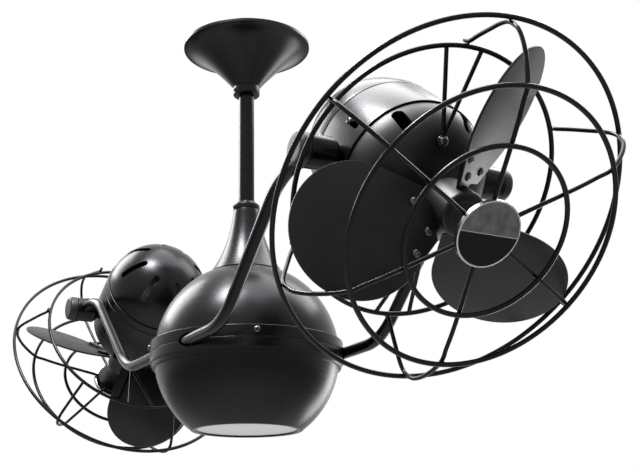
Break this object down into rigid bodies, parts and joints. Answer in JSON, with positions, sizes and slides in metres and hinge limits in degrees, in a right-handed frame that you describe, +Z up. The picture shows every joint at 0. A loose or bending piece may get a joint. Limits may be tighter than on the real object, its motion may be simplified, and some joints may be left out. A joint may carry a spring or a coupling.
{
  "type": "twin head ceiling fan",
  "caption": "Ceiling fan with a downrod and globe, from which bent tube arms carry a tilting caged fan head at each end, with a diffuser lamp in the globe's foot.",
  "frame": {"origin": "middle of the ceiling bracket's top face, on the ceiling", "axes": "+Z up, X along the line of the heads, Y along the tilt axes"},
  "size_m": [1.0681, 0.3396, 0.4826],
  "materials": {
    "satin_black": "satin, with fine horizontal brushing",
    "blade_black": "satin",
    "wire_black": "satin",
    "brushed_steel": "brushed",
    "dark_steel": "plain, partly out of sight",
    "frosted_white": "frosted",
    "white_ceramic": "glazed ceramic",
    "winding_pack": "laminated iron with copper windings"
  },
  "bodies": {
    "mount": {"ceiling_bracket": "dark_steel", "hanger_ball": "dark_steel", "canopy": "satin_black", "canopy_collar": "satin_black", "canopy_collar_screw": "dark_steel", "downrod": "satin_black", "neck_collar": "satin_black", "neck_collar_screw": "dark_steel", "neck": "satin_black", "spindle": "dark_steel"},
    "globe": {"globe_upper_shell": "satin_black", "globe_lower_shell": "satin_black", "arm_carrier": "dark_steel", "spindle_bearing": "brushed_steel", "lens_ring": "satin_black", "lens": "frosted_white", "lamp_holder": "white_ceramic", "lamp_bulb": "frosted_white", "band_screw_1": "brushed_steel", "band_screw_2": "brushed_steel", "band_screw_3": "brushed_steel", "band_screw_4": "brushed_steel", "arm_right_front": "satin_black", "arm_right_back": "satin_black", "arm_left_front": "satin_black", "arm_left_back": "satin_black"},
    "right_head": {"right_motor_rear_dome": "satin_black", "right_motor_band": "satin_black", "right_motor_front_dome": "satin_black", "right_stator": "winding_pack", "right_trunnion_1": "satin_black", "right_trunnion_2": "satin_black", "right_ring_rear": "wire_black", "right_ring_outer": "wire_black", "right_ring_middle": "wire_black", "right_ring_inner": "wire_black", "right_wire_basket": "wire_black", "right_badge": "brushed_steel"},
    "right_rotor": {"right_rotor_shaft": "brushed_steel", "right_hub": "satin_black", "right_blade_1": "blade_black", "right_blade_2": "blade_black", "right_blade_3": "blade_black"},
    "left_head": {"left_motor_rear_dome": "satin_black", "left_motor_band": "satin_black", "left_motor_front_dome": "satin_black", "left_stator": "winding_pack", "left_trunnion_1": "satin_black", "left_trunnion_2": "satin_black", "left_ring_rear": "wire_black", "left_ring_outer": "wire_black", "left_ring_middle": "wire_black", "left_ring_inner": "wire_black", "left_wire_basket": "wire_black", "left_badge": "brushed_steel"},
    "left_rotor": {"left_rotor_shaft": "brushed_steel", "left_hub": "satin_black", "left_blade_1": "blade_black", "left_blade_2": "blade_black", "left_blade_3": "blade_black"}
  },
  "joints": [
    {"name": "globe_spin", "type": "hinge", "parent": "mount", "child": "globe", "pos_m": [0, 0, -0.39574], "axis": [0, 0, 1], "continuous": true},
    {"name": "right_head_tilt", "type": "hinge", "parent": "globe", "child": "right_head", "pos_m": [0.339, 0, -0.27774], "axis": [0, 1, 0], "range_deg": [-134.6, 40.4]},
    {"name": "right_rotor_spin", "type": "hinge", "parent": "right_head", "child": "right_rotor", "pos_m": [0.339, 0, -0.27774], "axis": [0.7705, 0, -0.6374], "continuous": true},
    {"name": "left_head_tilt", "type": "hinge", "parent": "globe", "child": "left_head", "pos_m": [-0.339, 0, -0.27774], "axis": [0, 1, 0], "range_deg": [-50.6, 124.4]},
    {"name": "left_rotor_spin", "type": "hinge", "parent": "left_head", "child": "left_rotor", "pos_m": [-0.339, 0, -0.27774], "axis": [-0.8712, 0, -0.4909], "continuous": true}
  ]
}
